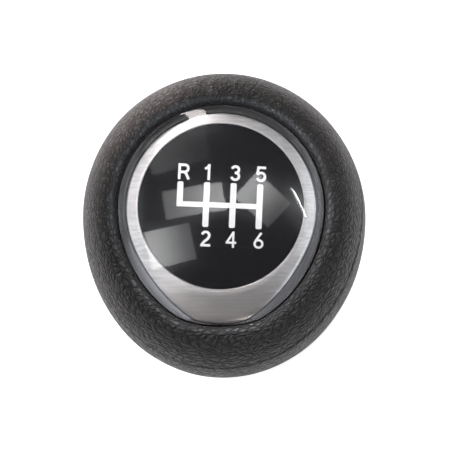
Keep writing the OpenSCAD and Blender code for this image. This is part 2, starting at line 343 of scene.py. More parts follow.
def makeLeatherGrain():
    look = grainLook
    tree, gin, gout = newGroup(
        "leatherGrain",
        [("Vector", "NodeSocketVector", None), ("Scale", "NodeSocketFloat", 1400.0),
         ("Warp", "NodeSocketFloat", 0.001), ("Pebble", "NodeSocketFloat", 0.4),
         ("Wrinkle", "NodeSocketFloat", 0.5), ("Gather", "NodeSocketFloat", 0.0)],
        [("Height", "NodeSocketFloat"), ("Crease", "NodeSocketFloat"), ("Mottle", "NodeSocketFloat")])
    place = gin.outputs["Vector"]
    bend = noiseNode(tree, place, look["bendScale"], look["bendDetail"])
    middle = vectorMath(tree, "SUBTRACT", bend.outputs["Color"], (0.5, 0.5, 0.5))
    bent = vectorMath(tree, "ADD", place, vectorMath(tree, "SCALE", middle, gin.outputs["Warp"]))

    def creases(share, stretch, wide):
        # 1 between the cells of the grain, 0 on top of them
        cells = addNode(tree, "ShaderNodeTexVoronoi", feature="DISTANCE_TO_EDGE")
        tree.links.new(stretched(tree, bent, stretch), cells.inputs["Vector"])
        tree.links.new(times(tree, gin.outputs["Scale"], share), cells.inputs["Scale"])
        return mapRange(tree, cells.outputs["Distance"], 0, wide, 1, 0)

    wrinkle = times(tree, creases(*look["wrinkle"]), gin.outputs["Wrinkle"])
    # gathered folds are the valleys of a noise that is drawn out up the head
    wave = noiseNode(tree, stretched(tree, bent, look["gatherStretch"]),
                     times(tree, gin.outputs["Scale"], look["gatherShare"]), 1)
    away = mathNode(tree, "ABSOLUTE", mathNode(tree, "SUBTRACT", wave.outputs["Fac"], 0.5))
    gather = times(tree, mapRange(tree, away, *look["gatherSpan"]), gin.outputs["Gather"])
    mottle = noiseNode(tree, place, look["mottleScale"], look["mottleDetail"]).outputs["Fac"]
    strong = mapRange(tree, mottle, *look["strongSpan"])
    fine = times(tree, creases(*look["pebble"]), strong, gin.outputs["Pebble"])
    dip = mathNode(tree, "ADD", mathNode(tree, "ADD", fine, wrinkle), gather)
    tree.links.new(mathNode(tree, "SUBTRACT", 0, dip), gout.inputs["Height"])
    tree.links.new(mathNode(tree, "MINIMUM", dip, 1), gout.inputs["Crease"])
    tree.links.new(mottle, gout.inputs["Mottle"])
    return tree


# Fine unevenness that every moulded or polished surface has

speckleLook = {
    "fineDetail": 4,
    "broadScale": 120,
    "broadDetail": 3,
}


def makeSurfaceSpeckle():
    look = speckleLook
    tree, gin, gout = newGroup(
        "surfaceSpeckle",
        [("Vector", "NodeSocketVector", None), ("Scale", "NodeSocketFloat", 800.0),
         ("Low", "NodeSocketFloat", 0.3), ("High", "NodeSocketFloat", 0.5)],
        [("Value", "NodeSocketFloat"), ("Height", "NodeSocketFloat")])
    place = gin.outputs["Vector"]
    fine = noiseNode(tree, place, gin.outputs["Scale"], look["fineDetail"]).outputs["Fac"]
    broad = noiseNode(tree, place, look["broadScale"], look["broadDetail"]).outputs["Fac"]
    both = times(tree, mathNode(tree, "ADD", fine, broad), 0.5)
    span = mathNode(tree, "SUBTRACT", gin.outputs["High"], gin.outputs["Low"])
    value = mathNode(tree, "ADD", gin.outputs["Low"], times(tree, both, span))
    tree.links.new(value, gout.inputs["Value"])
    tree.links.new(fine, gout.inputs["Height"])
    return tree


leatherGrain = makeLeatherGrain()
surfaceSpeckle = makeSurfaceSpeckle()


leatherLook = {
    "scale": 1400.0,
    "warp": 0.001,
    "pebble": 0.5,
    "wrinkleY": (-0.026, 0.012, 1.6, 0.5),    # most where it is stretched round the driver's side
    "gatherY": (0.0235, 0.0258, 0, 0.9),      # gathered behind the face
    "gatherZ": (0.083, 0.09),
    "mottle": (0.35, 0.65),
    "dark": (0.0158, 0.0137, 0.0122),
    "light": (0.0248, 0.0216, 0.0192),
    # the grain's creases are darker, partly from their own tone and partly from painted shade
    "crease": (0.005, 0.0046, 0.0043),
    "tops": (0, 0.6, 0.9, 0.25),              # the grain wears, and takes the painted highlights and sheen, on its tops
    "patches": (0.36, 0.62, 0.5, 1.1),
    # painted highlight on the rolled edge, partly real wear
    "wornHighlight": (0.2, 0.218, 0.236),
    # painted highlight on the upper left of the cover
    "paintedHighlight": (0.19, 0.165, 0.158),
    "paintedSheenY": (-0.004, -0.019),                # painted sheen lies on the lower front
    "paintedSheenTopZ": (0.081, 0.067),
    "paintedSheenFootZ": (0.045, 0.06),
    "paintedSheen": (0.105, 0.098, 0.088),
    # painted light: the strip under the seam, which faces the bright floor, is painted paler
    "underSeamLightShare": 0.7,
    "paintedLightUnderSeam": (0.11, 0.106, 0.1),
    # colour of the seam, and of the painted shade down the rolled edge into the recess
    "seam": (0.006, 0.0055, 0.005),
    "rough": (0, 1, 0.31, 0.48),
    "ior": 1.41,
    "sheen": 0.12,
    "sheenRough": 0.4,
    "bump": (1.0, 0.00026),
}


def leatherMaterial():
    look = leatherLook
    mat, tree, shader = newMaterial("grainedLeather")
    place = attributeNode(tree, "grain").outputs["Vector"]
    y, z = splitVector(tree, place)[1:]
    grain = useGroup(tree, leatherGrain, Scale=look["scale"], Warp=look["warp"],
                     Pebble=look["pebble"])
    tree.links.new(place, grain.inputs["Vector"])
    tree.links.new(mapRange(tree, y, *look["wrinkleY"]), grain.inputs["Wrinkle"])
    gather = times(tree, mapRange(tree, y, *look["gatherY"]), mapRange(tree, z, *look["gatherZ"]))
    tree.links.new(gather, grain.inputs["Gather"])
    crease, mottle = grain.outputs["Crease"], grain.outputs["Mottle"]
    base = mixColor(tree, mapRange(tree, mottle, *look["mottle"]), look["dark"], look["light"])
    # creases darkened, partly their own tone and partly painted shade
    color = mixColor(tree, crease, base, look["crease"])
    # the rolled edge is worn paler and carries a painted highlight, the seam is dark, painted shade
    # darkens the rolled edge into the recess, and painted light makes the strip under the seam paler
    wearAndHighlight, seamAndShade, under = splitVector(tree, attributeNode(tree, "wearSeamAndLight").outputs["Vector"])
    tops = mapRange(tree, crease, *look["tops"])
    # painted highlight, partly wear, on the grain tops of the rolled edge
    wornHighlight = times(tree, wearAndHighlight, tops, mapRange(tree, mottle, *look["patches"]))
    color = mixColor(tree, wornHighlight, color, look["wornHighlight"])
    # painted highlight: the upper left and the top of the rolled edge are made paler
    paintedHighlight = mathNode(tree, "MULTIPLY", seamAndShade, -1, clamp=True)
    color = mixColor(tree, times(tree, paintedHighlight, tops), color, look["paintedHighlight"])
    # painted sheen makes the grain tops on the lower front paler
    paintedSheenMask = times(tree, mapRange(tree, y, *look["paintedSheenY"]), mapRange(tree, z, *look["paintedSheenTopZ"]),
                  mapRange(tree, z, *look["paintedSheenFootZ"]), tops)
    color = mixColor(tree, paintedSheenMask, color, look["paintedSheen"])
    # painted light makes the strip under the seam paler
    color = mixColor(tree, times(tree, under, look["underSeamLightShare"]), color, look["paintedLightUnderSeam"])
    # the seam's dark line, and painted shade down the rolled edge into the recess
    color = mixColor(tree, mathNode(tree, "MAXIMUM", seamAndShade, 0), color, look["seam"])
    tree.links.new(color, shader.inputs["Base Color"])
    tree.links.new(mapRange(tree, crease, *look["rough"]), shader.inputs["Roughness"])
    shader.inputs["IOR"].default_value = look["ior"]
    shader.inputs["Sheen Weight"].default_value = look["sheen"]
    shader.inputs["Sheen Roughness"].default_value = look["sheenRough"]
    bumpInto(tree, shader, grain.outputs["Height"], *look["bump"])
    return mat


plasticLook = {
    "paler": 1.18,         # how much lighter its speckles are
    "bumpDepth": 0.00005,
}


def plasticMaterial(name, color, low, high, scale=900.0, strength=0.15):
    # low and high are its roughness, strength is that of its bump
    mat, tree, shader = newMaterial(name)
    speckle = useGroup(tree, surfaceSpeckle, Scale=scale, Low=low, High=high)
    tree.links.new(objectPlace(tree), speckle.inputs["Vector"])
    tree.links.new(speckle.outputs["Value"], shader.inputs["Roughness"])
    height = speckle.outputs["Height"]
    paler = tuple(min(1, c * plasticLook["paler"]) for c in color)
    tree.links.new(mixColor(tree, height, color, paler), shader.inputs["Base Color"])
    bumpInto(tree, shader, height, strength, plasticLook["bumpDepth"])
    return mat


brushedLook = {
    "stretch": (45, 2600, 2600),              # the brushed lines run along X
    "lineDetail": 5,
    "lineSpan": (0.3, 0.7),
    "dark": (0.63, 0.625, 0.62),
    "light": (0.82, 0.815, 0.815),
    "blotchScale": 170,
    "blotchDetail": 3,
    "blotchSpan": (0.4, 0.7, 0, 0.5),         # handling has left it blotchy
    "blotch": (0.6, 0.57, 0.555),
    # painted shade: the plate darkens towards the toe
    "toeShadeY": (-0.011, -0.0185, 0, 0.7),
    "toe": (0.43, 0.4, 0.385),
    "metallic": 0.92,
    "anisotropic": 0.8,
    "rough": (0.3, 0.7, 0.32, 0.38),
    "bump": (0.14, 0.00002),
}


def brushedMaterial():
    look = brushedLook
    mat, tree, shader = newMaterial("brushedPlate")
    place = objectPlace(tree)
    drawn = stretched(tree, place, look["stretch"])
    lines = noiseNode(tree, drawn, 1, look["lineDetail"]).outputs["Fac"]
    color = mixColor(tree, mapRange(tree, lines, *look["lineSpan"]), look["dark"], look["light"])
    blotch = noiseNode(tree, place, look["blotchScale"], look["blotchDetail"]).outputs["Fac"]
    color = mixColor(tree, mapRange(tree, blotch, *look["blotchSpan"]), color, look["blotch"])
    y = splitVector(tree, place)[1]
    # painted shade towards the toe
    color = mixColor(tree, mapRange(tree, y, *look["toeShadeY"]), color, look["toe"])
    tree.links.new(color, shader.inputs["Base Color"])
    shader.inputs["Metallic"].default_value = look["metallic"]
    shader.inputs["Anisotropic"].default_value = look["anisotropic"]
    across = addNode(tree, "ShaderNodeCombineXYZ")
    across.inputs["Y"].default_value = 1
    tree.links.new(across.outputs[0], shader.inputs["Tangent"])
    tree.links.new(mapRange(tree, lines, *look["rough"]), shader.inputs["Roughness"])
    bumpInto(tree, shader, lines, *look["bump"])
    return mat


# Painted reflection: round the plate beside the toe, what shows is painted silver that shades off
# away from the plate
borderLook = {
    "besideY": (-0.004, -0.0145),
    "besideX": (-0.012, 0.012, 1, 0.36),      # less on the right
    "off": (-0.0002, 0.0021, 1, 0.12),        # by how far it is from the plate's flank
    "paintedSilver": (0.4, 0.42, 0.455),
}


def borderMaterial(name, color, low, high):
    look = borderLook
    mat = plasticMaterial(name, color, low, high)
    tree = mat.node_tree
    onPlane = addNode(tree, "ShaderNodeMapping", vector_type="TEXTURE")
    onPlane.inputs["Location"].default_value = (0, -face["forward"], face["height"])
    onPlane.inputs["Rotation"].default_value = (face["tilt"], 0, 0)
    tree.links.new(objectPlace(tree), onPlane.inputs["Vector"])
    x, y = splitVector(tree, onPlane.outputs["Vector"])[:2]
    # the distance from the centre of the flank's arc, with the right side folded onto the left
    folded = addNode(tree, "ShaderNodeCombineXYZ")
    tree.links.new(times(tree, mathNode(tree, "ABSOLUTE", x), -1), folded.inputs["X"])
    tree.links.new(y, folded.inputs["Y"])
    centre, r = dropArcs(plateShape)[1][:2]
    reach = vectorMath(tree, "DISTANCE", folded.outputs[0], (centre.x, centre.y, 0), "Value")
    off = mathNode(tree, "SUBTRACT", reach, r)
    # painted reflection of silver beside the toe
    paintedSilver = times(tree, mapRange(tree, y, *look["besideY"]), mapRange(tree, x, *look["besideX"]),
                    mapRange(tree, off, *look["off"]))
    baseColor = tree.nodes["Principled BSDF"].inputs["Base Color"]
    plain = baseColor.links[0].from_socket
    tree.links.new(mixColor(tree, paintedSilver, plain, look["paintedSilver"]), baseColor)
    return mat


clearLook = {
    "speckle": 260.0,
    "rough": (0.015, 0.045),
    "clear": (0.98, 0.985, 0.99),
    "rim": (0.03, 0.034, 0.043),              # painted shade: its rounded shoulder is darkened at the toe
    "ior": 1.47,
}


def lensMaterial():
    look = clearLook
    mat, tree, shader = newMaterial("clearLens")
    low, high = look["rough"]
    speckle = useGroup(tree, surfaceSpeckle, Scale=look["speckle"], Low=low, High=high)
    tree.links.new(objectPlace(tree), speckle.inputs["Vector"])
    tree.links.new(speckle.outputs["Value"], shader.inputs["Roughness"])
    # painted shade on the lens's shoulder about the toe
    toeShade = attributeNode(tree, "toeShade").outputs["Fac"]
    tree.links.new(mixColor(tree, toeShade, look["clear"], look["rim"]), shader.inputs["Base Color"])
    shader.inputs["Transmission Weight"].default_value = 1
    shader.inputs["IOR"].default_value = look["ior"]
    # light reaches what is under the lens
    path = addNode(tree, "ShaderNodeLightPath")
    clear = addNode(tree, "ShaderNodeBsdfTransparent")
    mix = addNode(tree, "ShaderNodeMixShader")
    tree.links.new(path.outputs["Is Shadow Ray"], mix.inputs[0])
    tree.links.new(shader.outputs[0], mix.inputs[1])
    tree.links.new(clear.outputs[0], mix.inputs[2])
    tree.links.new(mix.outputs[0], tree.nodes["Material Output"].inputs["Surface"])
    return mat


leather = leatherMaterial()
# the carrier and the bond carry a painted reflection of silver beside the toe
satinBlack = borderMaterial("satinCarrier", (0.062, 0.067, 0.075), 0.3, 0.45)
dialBlack = plasticMaterial("glossDial", (0.006, 0.006, 0.007), 0.12, 0.2, 300.0, 0.03)
printWhite = plasticMaterial("whitePrint", (0.88, 0.88, 0.88), 0.4, 0.55, 1500.0, 0.1)
collarBlack = plasticMaterial("collarPlastic", (0.014, 0.014, 0.015), 0.42, 0.6, 1400.0, 0.3)
coreGrey = plasticMaterial("corePlastic", (0.05, 0.05, 0.052), 0.5, 0.65)
sleeveGrey = plasticMaterial("sleevePlastic", (0.03, 0.03, 0.033), 0.4, 0.55)
bondGrey = borderMaterial("bondFilm", (0.03, 0.03, 0.032), 0.3, 0.4)
damperRubber = plasticMaterial("damperRubber", (0.012, 0.012, 0.012), 0.7, 0.85, 1200.0, 0.3)
plateMetal = brushedMaterial()
clearLens = lensMaterial()
springWire = plasticMaterial("springWire", (0.55, 0.55, 0.56), 0.25, 0.35)
springWire.node_tree.nodes["Principled BSDF"].inputs["Metallic"].default_value = 1
print("materials ready")


# Grip skin

skin = {
    "girthX": 26 * mm,
    "girthFront": 29.7 * mm,
    "girthBack": 25.7 * mm,
    "girthShift": 1 * mm,
    "girthZ": 44.5 * mm,
    "neckR": 15 * mm,
    "neckBend": 1.5,
    "foot": 4 * mm,
    "thick": 2 * mm,
    "lining": 1.6 * mm,
    "lensGap": 0.35 * mm,
    "rollW": 2.3 * mm,
    "rollH": 1.9 * mm,
    "footInset": 0.25 * mm,
    "seamAt": 28,          # degrees up the flank
    "seamHalf": 2.6,       # half its width
    "seamDepth": 0.4 * mm,
    # places across the seam, in halves of its width, and how deep it is there
    "seamProfile": ((-1, 0.1), (-0.35, 0.7), (0, 1), (0.35, 0.7), (1, 0.1)),
    # how deep the seam is pulled in, by direction
    "seamShares": ((0, 1), (22, 0.7), (50, 0.15), (195, 0.1), (235, 0.4), (280, 0.5),
                   (305, 1), (360, 1)),
    "wearHighlightAt": 40,          # degrees down the rolled edge, where wear and a painted highlight are most
    "wearHighlightHalf": 14,
    # painted shade darkens the rolled edge as it turns down into the recess
    "shadeFrom": 60,
    "shadeMost": 0.3,
    "highlightAt": 122,         # direction of a painted highlight that makes the cover paler
    "highlightHalf": 34,
    "highlightMost": 0.92,
    "highlightFrom": 10,        # degrees up the flank
    "highlightOver": 55,
    "lipFade": 50,         # the rolled edge loses its painted highlight and takes on painted shade over so many degrees
    "around": 120,
    "firstShare": 0.008,   # the first ring over the foot, as a share of the neck's height
    "neckSteps": 14,
    "flankSteps": 13,
    "lipSteps": 10,
    "insideSteps": 7,
    # heights in the recess, from the crest
    "wallRings": (-3 * mm, -5 * mm),
    "wallTaper": 0.1 * mm,
    "liningTop": -3.6 * mm,
    "cornerTop": -2.4 * mm,
    "stretch": 1.5,        # grain is shorter up the flank than round it
    "unevenScale": 90,
    "uneven": 0.06 * mm,
}
crestOut = skin["lensGap"] + skin["rollW"]


def girthPoint(a, inset):
    reach = skin["girthFront"] if sin(radians(a)) < 0 else skin["girthBack"]
    u = unit(a)
    across, along = (skin["girthX"] - inset) * u.x, (reach - inset) * u.y
    return Vector((across, along + skin["girthShift"], skin["girthZ"]))


def neckPoint(a, f, inset=0.0):
    swell = (1 - cos(pi * f ** skin["neckBend"])) / 2
    u = unit(a) * (skin["neckR"] - inset)
    p = Vector((u.x, u.y, 0)).lerp(girthPoint(a, inset), swell)
    p.z = skin["foot"] + f * (skin["girthZ"] - skin["foot"])
    return p


def flankPoint(a, t, inset=0.0, sink=0.0):
    start = girthPoint(a, inset)
    crest = onFace(dropPoint(lensShape, a, crestOut), -inset)
    rise = Vector((0, 0, (crest - start).dot(faceUp) / faceUp.z))
    run = crest - start - rise
    u = unit(a)
    return start + run * (1 - cos(radians(t))) + rise * sin(radians(t)) - sink * Vector((u.x, u.y, 0))


def lipPoint(a, q):
    grow = skin["lensGap"] + skin["rollW"] * (1 - sin(radians(q)))
    return onFace(dropPoint(lensShape, a, grow), skin["rollH"] * (cos(radians(q)) - 1))


def seamShare(a):
    shares = skin["seamShares"]
    for (a0, s0), (a1, s1) in zip(shares, shares[1:]):
        if a <= a1:
            return s0 + (s1 - s0) * (1 - cos(pi * (a - a0) / (a1 - a0))) / 2


def skinRows():
    # the cover's rings, each with the part it lies on and its place there: up the outside,
    # over the rolled edge, down the recess and back inside
    s = skin
    turns = directions(s["around"])
    rows = []

    def add(part, t, point):
        rows.append((part, t, [point(a) for a in turns]))

    add("neck", 0, lambda a: neckPoint(a, 0, s["footInset"]))
    for f in [s["firstShare"]] + [i / s["neckSteps"] for i in range(1, s["neckSteps"])]:
        add("neck", f, lambda a: neckPoint(a, f))
    seam, half = s["seamAt"], s["seamHalf"]
    for t in (0, seam / 2, seam - 2 * half):
        add("flank", t, lambda a: flankPoint(a, t))
    for across, share in s["seamProfile"]:
        t, depth = seam + half * across, s["seamDepth"] * share
        add("flank", t, lambda a: flankPoint(a, t, 0, depth * seamShare(a)))
    first = seam + 2 * half
    for i in range(s["flankSteps"] + 1):
        t = first + (90 - first) * i / s["flankSteps"]
        add("flank", t, lambda a: flankPoint(a, t))
    for i in range(1, s["lipSteps"] + 1):
        t = 90 * i / s["lipSteps"]
        add("lip", t, lambda a: lipPoint(a, t))
    wall = s["lensGap"]
    back = wall + s["lining"]
    lining = [(wall, w) for w in s["wallRings"]]
    lining += [(wall + s["wallTaper"], -stack["recess"]), (back, -stack["recess"]),
               (back, s["liningTop"]), ((back + crestOut) / 2, s["cornerTop"])]
    for grow, w in lining:
        add("inside", 0, lambda a: onFace(dropPoint(lensShape, a, grow), w))
    steps = s["insideSteps"]
    for i in range(steps):
        t = 90 - 90 * i / (steps - 1)
        add("inside", 0, lambda a: flankPoint(a, t, s["thick"]))
    for i in range(1, steps + 1):
        add("inside", 0, lambda a: neckPoint(a, 1 - i / steps, s["thick"]))
    return rows


def wearSeamAndLightAt(a, part, t):
    # how worn the cover is, with a painted highlight on the rolled edge; how dark from the seam and
    # from painted shade in the recess (or how pale from a painted highlight, where it is under 0);
    # and how much painted light the strip under the seam gets
    s = skin
    share = seamShare(a)
    # wear and a painted highlight on the rolled edge
    wearAndHighlight = exp(-((t - s["wearHighlightAt"]) / s["wearHighlightHalf"]) ** 2) if part == "lip" else 0
    seamAndShade, under = 0, 0
    if part == "flank":
        seamAndShade = exp(-((t - s["seamAt"]) / s["seamHalf"]) ** 2) * share
        # painted light on the strip under the seam
        under = share if t < s["seamAt"] else 0
    elif part == "lip":
        # painted shade down the rolled edge into the recess
        seamAndShade = min(s["shadeMost"], max(0, (t - s["shadeFrom"]) / s["lipFade"]))
    # painted highlight on the upper left
    paintedHighlight = exp(-((a - s["highlightAt"]) / s["highlightHalf"]) ** 2) * s["highlightMost"]
    paintedHighlight *= {"flank": min(1, max(0, (t - s["highlightFrom"]) / s["highlightOver"])),
             "lip": max(0, 1 - t / s["lipFade"])}.get(part, 0)
    return Vector((wearAndHighlight, seamAndShade - paintedHighlight, under))


def buildSkin():
    bm = bmesh.new()
    bm.verts.layers.float_vector.new("grain")
    bm.verts.layers.float_vector.new("wearSeamAndLight")
    rows = skinRows()
    loops = growRings(bm, [ring for part, t, ring in rows], closed=True)[2]
    number = bm.verts.layers.int["number"]
    grain = bm.verts.layers.float_vector["grain"]
    wearSeamAndLight = bm.verts.layers.float_vector["wearSeamAndLight"]
    length = [0.0] * skin["around"]
    before = rows[0][2]
    for (part, t, ring), verts in zip(rows, loops):
        for i, p in enumerate(ring):
            length[i] += (p - before[i]).length
        before = ring
        for v in verts:
            i = v[number]
            a = 360 * i / skin["around"]
            u = unit(a) * skin["girthX"]
            v[grain] = Vector((u.x, u.y, length[i] * skin["stretch"]))
            v[wearSeamAndLight] = wearSeamAndLightAt(a, part, t)
    bmesh.ops.recalc_face_normals(bm, faces=list(bm.faces))
    bm.normal_update()
    # a stretched cover is never quite even
    for v in bm.verts:
        v.co += v.normal * noise.noise(v.co * skin["unevenScale"]) * skin["uneven"]
    makePiece(bm, "gripSkin", leather, "grip_skin", levels=1)


buildSkin()
print("grip skin built")


# Lens, a bent sheet with a rounded shoulder

lensLook = {
    "around": 144,
    "shoulder": 0.34 * mm,
    "heel": 0.12 * mm,
    "shoulderTurns": (0, 10, 25, 40, 55, 70, 82, 90),   # degrees, from the edge onto the dome
    "toeAt": 270,
    "toeShadeHalf": 27,        # degrees either way of the toe
    "steps": (0.06, 0.13, 0.22, 0.32, 0.42, 0.52, 0.62, 0.72, 0.8, 0.87, 0.92, 0.955),
}


def buildLens():
    turns = directions(lensLook["around"])
    r, heel = lensLook["shoulder"], lensLook["heel"]

    def onSphere(sphereR, share=1.0, grow=0.0):
        points = [dropPoint(lensShape, a, grow) * share for a in turns]
        return [onFace(p, domeHeight(p, sphereR)) for p in points]

    rings = [onSphere(underR, f) for f in lensLook["steps"]]
    rings.append(onSphere(underR, 1, -heel))
    rings.append(onSphere(underR + heel))
    for q in lensLook["shoulderTurns"]:
        out, up = r * (1 - cos(radians(q))), r * (1 - sin(radians(q)))
        rings.append(onSphere(domeR - up, 1, -out))
    rings += [onSphere(domeR, f) for f in reversed(lensLook["steps"])]
    bm = bmesh.new()
    bm.verts.layers.float.new("toeShade")
    first, last, loops = growRings(bm, rings)
    number, toeShade = bm.verts.layers.int["number"], bm.verts.layers.float["toeShade"]
    inner = len(lensLook["steps"])
    # painted shade on the shoulder's rings about the toe
    for verts in loops[inner:-inner - 1]:
        for v in verts:
            off = turns[v[number]] - lensLook["toeAt"]
            v[toeShade] = exp(-(off / lensLook["toeShadeHalf"]) ** 2)
    capEnd(bm, last)
    capEnd(bm, first)
    makePiece(bm, "lensDome", clearLens, "lens")


buildLens()
print("lens built")


# Silver plate, a domed sheet with softened edges

plateLook = {
    "around": 180,
    "edge": 0.1 * mm,
    "edgeShare": 0.3,      # how far in the softened edge's middle lies
    "steps": (0.25, 0.5, 0.75),
}


def buildPlate():
    turns = directions(plateLook["around"])
    hole = stack["dialR"] + stack["dialGap"]
    bottom = plateR - stack["plateThick"]
    edge = plateLook["edge"]
    middle = plateLook["edgeShare"] * edge

    def outer(a, inset, r):
        p = innerOutline(a, inset)
        return onFace(p, domeHeight(p, r))

    def inner(a, inset, r):
        p = unit(a) * (hole + inset)
        return onFace(p, domeHeight(p, r))

    # inset and radius, from the underside onto the top
    side = ((0, bottom), (0, plateR - edge), (middle, plateR - middle), (edge, plateR))
    rings = [[outer(a, *place) for a in turns] for place in side]
    for f in plateLook["steps"]:
        rings.append([outer(a, edge, plateR).lerp(inner(a, edge, plateR), f) for a in turns])
    rings += [[inner(a, *place) for a in turns] for place in reversed(side)]
    bm = bmesh.new()
    growRings(bm, rings, closed=True)
    makePiece(bm, "silverPlate", plateMetal, "bezel_plate")


buildPlate()
print("plate built")


# Print on the dial: gate lines, numbers and the letter

gate = {
    "turn": radians(-2.3),
    "columns": (-7.3, -2.53, 2.2, 6.92),   # millimetres from the dial's centre
    "top": 4.1,
    "bottom": -3.86,
    "bar": 0.09,
    "stroke": 1.08,
    "barStroke": 0.92,
    # a gate line ends in two short strokes that narrow: how long and how wide each is
    "ends": ((0.14, 0.94), (0.11, 0.76)),
    "barEnd": 0.9,
    "rowY": 5.93,
    # each sign, its place across, above or below the gate, and the weight of its strokes
    "rows": (("R", -6.85, 1, 1), ("1", -2.53, 1, 1), ("3", 2.42, 1, 1), ("5", 6.96, 1, 1),
             ("2", -2.38, -1, 0.98), ("4", 2.16, -1, 0.82), ("6", 7.03, -1, 0.84)),
    "capHeight": 2.86,
    "pen": 0.46,
    "mitre": 0.5,          # keeps sharp corners from growing wide
    "cuts": 19,            # fine cuts each way let the print follow the dial's dome
    "cutStep": 0.93,
    "ink": 0.05 * mm,
}


def inkStroke(bm, points, width):
    # a ribbon: an edge across the pen, drawn along the path
    pts = [Vector(p) for p in points]
    sides = []
    for i, p in enumerate(pts):
        before = (p - pts[i - 1]).normalized() if i else (pts[1] - p).normalized()
        after = (pts[i + 1] - p).normalized() if i < len(pts) - 1 else before
        along = (before + after).normalized()
        across = Vector((-along.y, along.x)) * (width / 2) / max(gate["mitre"], along.dot(after))
        sides.append((p + across, p - across))
    a = bm.verts.new((*sides[0][0], 0))
    b = bm.verts.new((*sides[0][1], 0))
    edge = bm.edges.new((a, b))
    tag = bm.verts.layers.int["side"]
    a[tag], b[tag] = 0, 1
    for pair in sides[1:]:
        grown = bmesh.ops.extrude_edge_only(bm, edges=[edge])["geom"]
        edge = [g for g in grown if isinstance(g, bmesh.types.BMEdge)][0]
        for v in edge.verts:
            v.co = Vector((*pair[v[tag]], 0))


def bow(cx, cy, rx, ry, start, end, steps=14):
    return [(cx + rx * cos(radians(start + (end - start) * i / steps)),
             cy + ry * sin(radians(start + (end - start) * i / steps))) for i in range(steps + 1)]


# Strokes on a cap height of 1, about the middle of each sign
signs = {
    "R": [[(-0.26, -0.5), (-0.26, 0.5)],
          [(-0.3, 0.41), (0.06, 0.41)] + bow(0.06, 0.185, 0.225, 0.225, 80, -80) + [(-0.3, -0.04)],
          [(0.02, -0.04), (0.1, -0.06), (0.17, -0.16), (0.34, -0.5)]],
    "1": [[(0.08, -0.5), (0.08, 0.5)], [(0.1, 0.42), (0.0, 0.3), (-0.17, 0.2)]],
    "3": [bow(-0.01, 0.215, 0.215, 0.2, 165, -72) + [(-0.04, 0.015)],
          [(-0.04, 0.025)] + bow(-0.01, -0.195, 0.235, 0.22, 76, -168)],
    "5": [[(0.29, 0.41), (-0.17, 0.41), (-0.235, -0.02)],
          [(-0.235, -0.02)] + bow(0.0, -0.165, 0.245, 0.25, 132, -162)],
    "2": [bow(0.0, 0.2, 0.225, 0.215, 168, -28) + [(0.1, -0.04), (-0.1, -0.2), (-0.25, -0.42)],
          [(-0.31, -0.41), (0.3, -0.41)]],
    "4": [[(0.13, -0.5), (0.13, 0.5)], [(0.12, 0.44), (-0.26, -0.18)],
          [(-0.33, -0.19), (0.32, -0.19)]],
    "6": [[(0.16, 0.5), (0.02, 0.3), (-0.12, 0.08), (-0.21, -0.08)],
          bow(0.0, -0.19, 0.24, 0.23, 0, 360, 28)],
}


def buildPrint():
    g = gate
    bm = bmesh.new()
    bm.verts.layers.int.new("side")
    columns, width = g["columns"], g["stroke"]
    tip = sum(long for long, wide in g["ends"])
    for i, x in enumerate(columns):
        low = g["bar"] - g["barStroke"] / 2 if i == 0 else g["bottom"] + tip
        inkStroke(bm, [(x, low), (x, g["top"] - tip)], width)
        for out in (1,) if i == 0 else (1, -1):
            y = g["top"] - tip if out > 0 else g["bottom"] + tip
            for long, wide in g["ends"]:
                inkStroke(bm, [(x, y), (x, y + long * out)], width * wide)
                y += long * out
    right = columns[-1] + width / 2 * g["barEnd"]
    inkStroke(bm, [(columns[0] - width / 2, g["bar"]), (right, g["bar"])], g["barStroke"])
    size = g["capHeight"]
    for sign, x, row, weight in g["rows"]:
        for path in signs[sign]:
            points = [(x + px * size, row * g["rowY"] + py * size) for px, py in path]
            inkStroke(bm, points, g["pen"] * weight)
    for i in range(g["cuts"]):
        step = (i - g["cuts"] // 2) * g["cutStep"]
        for normal in ((1, 0, 0), (0, 1, 0)):
            bmesh.ops.bisect_plane(bm, geom=list(bm.verts) + list(bm.edges) + list(bm.faces),
                                   plane_co=Vector(normal) * step, plane_no=normal)
    turned = Matrix.Rotation(g["turn"], 4, "Z") @ Matrix.Scale(mm, 4)
    bmesh.ops.transform(bm, matrix=turned, verts=list(bm.verts))
    for v in bm.verts:
        p = (v.co.x, v.co.y)
        v.co = onFace(p, domeHeight(p, dialTopR) + g["ink"])
    bmesh.ops.recalc_face_normals(bm, faces=list(bm.faces))
    for f in bm.faces:
        if f.normal.dot(faceUp) < 0:
            f.normal_flip()
    bmesh.ops.solidify(bm, geom=list(bm.faces), thickness=g["ink"])
    makePiece(bm, "gatePrint", printWhite, smooth=False)


buildPrint()
print("print built")


# CAD pieces that keep their shape and get a finish

finishes = {
    "core_body": coreGrey,
    "bezel_carrier": satinBlack,
    "dial_disc": dialBlack,
    "lens_bond": bondGrey,
    "lever_sleeve": sleeveGrey,
    "retaining_clip": springWire,
    "damper_ring_lower": damperRubber,
    "damper_ring_upper": damperRubber,
    "stop_pad": damperRubber,
    "neck_collar": collarBlack,
}
for name, mat in finishes.items():
    nodes[name].data.materials.clear()
    nodes[name].data.materials.append(mat)
print("CAD pieces finished")


# Floor: white, with a glow that only the camera and mirrors see

floorLook = {
    "size": 3,
    "under": 0.0002,
    "grey": (0.85, 0.85, 0.85, 1),
    "rough": 0.9,
    "glow": 0.67,
    "mirrored": 0.475,     # share of the glow that the knob mirrors
}


